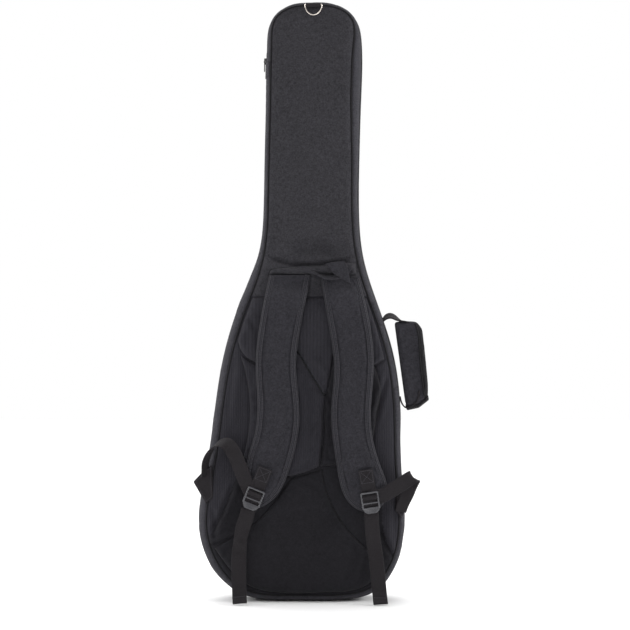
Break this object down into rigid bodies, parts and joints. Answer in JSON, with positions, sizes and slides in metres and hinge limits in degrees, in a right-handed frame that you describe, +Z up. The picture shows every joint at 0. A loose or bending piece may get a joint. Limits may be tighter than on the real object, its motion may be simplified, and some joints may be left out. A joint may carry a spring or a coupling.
{
  "type": "padded gig bag",
  "caption": "Padded gig bag for an electric guitar: zipped lid, front pocket, shoulder straps with ladder locks, side and grab handles, hanging ring.",
  "frame": {"origin": "on the flat of the base, under the middle of the zip's plane", "axes": "+Z up the bag, -Y the back with the shoulder straps, +Y the front lid, +X the side with the carrying handle"},
  "size_m": [0.4067, 0.1525, 1.0441],
  "materials": {
    "shell_fabric": "woven polyester, charcoal",
    "gusset_fabric": "woven polyester, charcoal",
    "lower_fabric": "smooth woven polyester, near black",
    "strap_fabric": "fine woven polyester over foam",
    "binding": "ribbed binding tape with stitching",
    "mesh": "ribbed spacer mesh",
    "piping": "cord piping in fabric",
    "lining": "brushed nylon lining",
    "webbing": "flat woven webbing",
    "grip_fabric": "padded fabric sleeve",
    "zip": "coil zip on woven tape",
    "zip_metal": "black painted die casting",
    "puller": "antique brass-brown plated puller",
    "ring_metal": "bright nickel plate",
    "buckle": "black acetal"
  },
  "bodies": {
    "shell": {"back_panel": "shell_fabric", "back_piping": "piping", "back_gusset_top": "gusset_fabric", "back_gusset_left": "gusset_fabric", "back_gusset_right": "gusset_fabric", "back_gusset_bottom": "gusset_fabric", "zip_tape_back": "zip", "back_lining": "lining", "neck_rest": "lining", "headstock_pad": "lining", "end_pad": "lining", "neck_strap": "webbing", "yoke_band": "strap_fabric", "back_mesh": "mesh", "lumbar_pad_left": "mesh", "lumbar_pad_right": "mesh", "lower_panel": "lower_fabric", "left_wing": "shell_fabric", "right_wing": "shell_fabric", "side_handle_patches": "webbing", "hang_loop": "webbing", "zip_garage": "strap_fabric"},
    "lid": {"front_panel": "shell_fabric", "front_piping": "piping", "front_gusset_top": "gusset_fabric", "front_gusset_left": "gusset_fabric", "front_gusset_right": "gusset_fabric", "front_gusset_bottom": "gusset_fabric", "zip_tape_front": "zip", "front_lining": "lining", "pocket_gusset": "gusset_fabric", "pocket_zip": "zip"},
    "pocket_flap": {"pocket_panel": "shell_fabric"},
    "pocket_slider": {"pocket_slider": "zip_metal"},
    "pocket_puller": {"pocket_puller": "puller"},
    "zip_slider": {"zip_slider": "zip_metal"},
    "zip_puller": {"zip_puller": "puller"},
    "hang_ring": {"hang_ring": "ring_metal"},
    "grab_handle": {"grab_handle": "webbing"},
    "side_handle": {"side_handle_grip": "grip_fabric", "side_handle_webbing": "webbing"},
    "left_strap": {"left_strap_pad": "strap_fabric", "left_strap_binding": "binding", "left_strap_anchor": "webbing", "left_adjuster": "webbing"},
    "left_lock": {"left_ladder_lock": "buckle"},
    "left_tail": {"left_tail": "webbing"},
    "right_strap": {"right_strap_pad": "strap_fabric", "right_strap_binding": "binding", "right_strap_anchor": "webbing", "right_adjuster": "webbing"},
    "right_lock": {"right_ladder_lock": "buckle"},
    "right_tail": {"right_tail": "webbing"}
  },
  "joints": [
    {"name": "lid_hinge", "type": "hinge", "parent": "shell", "child": "lid", "pos_m": [-0.203, 0.0065, 0.15], "axis": [0.1427, 0, 0.9898], "range_deg": [0, 110]},
    {"name": "pocket_flap_hinge", "type": "hinge", "parent": "lid", "child": "pocket_flap", "pos_m": [0, 0.0701, 0.025], "axis": [-1, 0, 0], "range_deg": [0, 60]},
    {"name": "pocket_slider_slide", "type": "slide", "parent": "lid", "child": "pocket_slider", "axis": [1, 0, 0], "range_m": [0, 0.18]},
    {"name": "pocket_puller_hinge", "type": "hinge", "parent": "pocket_slider", "child": "pocket_puller", "pos_m": [-0.1012, 0.066, 0.4241], "axis": [0, -1, 0], "range_deg": [0, 160]},
    {"name": "zip_slider_slide", "type": "slide", "parent": "shell", "child": "zip_slider", "axis": [0, 0, 1], "range_m": [0, 0.035]},
    {"name": "zip_puller_hinge", "type": "hinge", "parent": "zip_slider", "child": "zip_puller", "pos_m": [-0.08075, 0.0015, 0.9502], "axis": [0, 1, 0], "range_deg": [0, 150]},
    {"name": "hang_ring_hinge", "type": "hinge", "parent": "shell", "child": "hang_ring", "pos_m": [0.0056, -0.052, 1.036], "axis": [-1, 0, 0], "range_deg": [0, 150]},
    {"name": "grab_handle_hinge", "type": "hinge", "parent": "shell", "child": "grab_handle", "pos_m": [0.018, -0.0544, 0.597], "axis": [-1, 0, 0], "range_deg": [0, 110]},
    {"name": "side_handle_hinge", "type": "hinge", "parent": "shell", "child": "side_handle", "pos_m": [0.161, -0.017, 0.342], "axis": [-0.2143, 0, 0.9768], "range_deg": [-40, 40]},
    {"name": "left_strap_swing", "type": "hinge", "parent": "shell", "child": "left_strap", "pos_m": [-0.072, -0.052, 0.569], "axis": [-0.3375, 0, -0.9413], "range_deg": [0, 70]},
    {"name": "left_lock_tilt", "type": "hinge", "parent": "left_strap", "child": "left_lock", "pos_m": [-0.09119, -0.0725, 0.19937], "axis": [-0.9272, 0, 0.3746], "range_deg": [0, 45]},
    {"name": "left_tail_swing", "type": "hinge", "parent": "left_lock", "child": "left_tail", "pos_m": [-0.109, -0.0737, 0.164], "axis": [-1, 0, 0], "range_deg": [-6, 70]},
    {"name": "right_strap_swing", "type": "hinge", "parent": "shell", "child": "right_strap", "pos_m": [0.085, -0.052, 0.564], "axis": [-0.2797, 0, 0.9601], "range_deg": [0, 70]},
    {"name": "right_lock_tilt", "type": "hinge", "parent": "right_strap", "child": "right_lock", "pos_m": [0.10107, -0.0725, 0.19431], "axis": [-0.9877, 0, -0.1564], "range_deg": [0, 45]},
    {"name": "right_tail_swing", "type": "hinge", "parent": "right_lock", "child": "right_tail", "pos_m": [0.1055, -0.0737, 0.159], "axis": [-1, 0, 0], "range_deg": [-6, 70]}
  ]
}
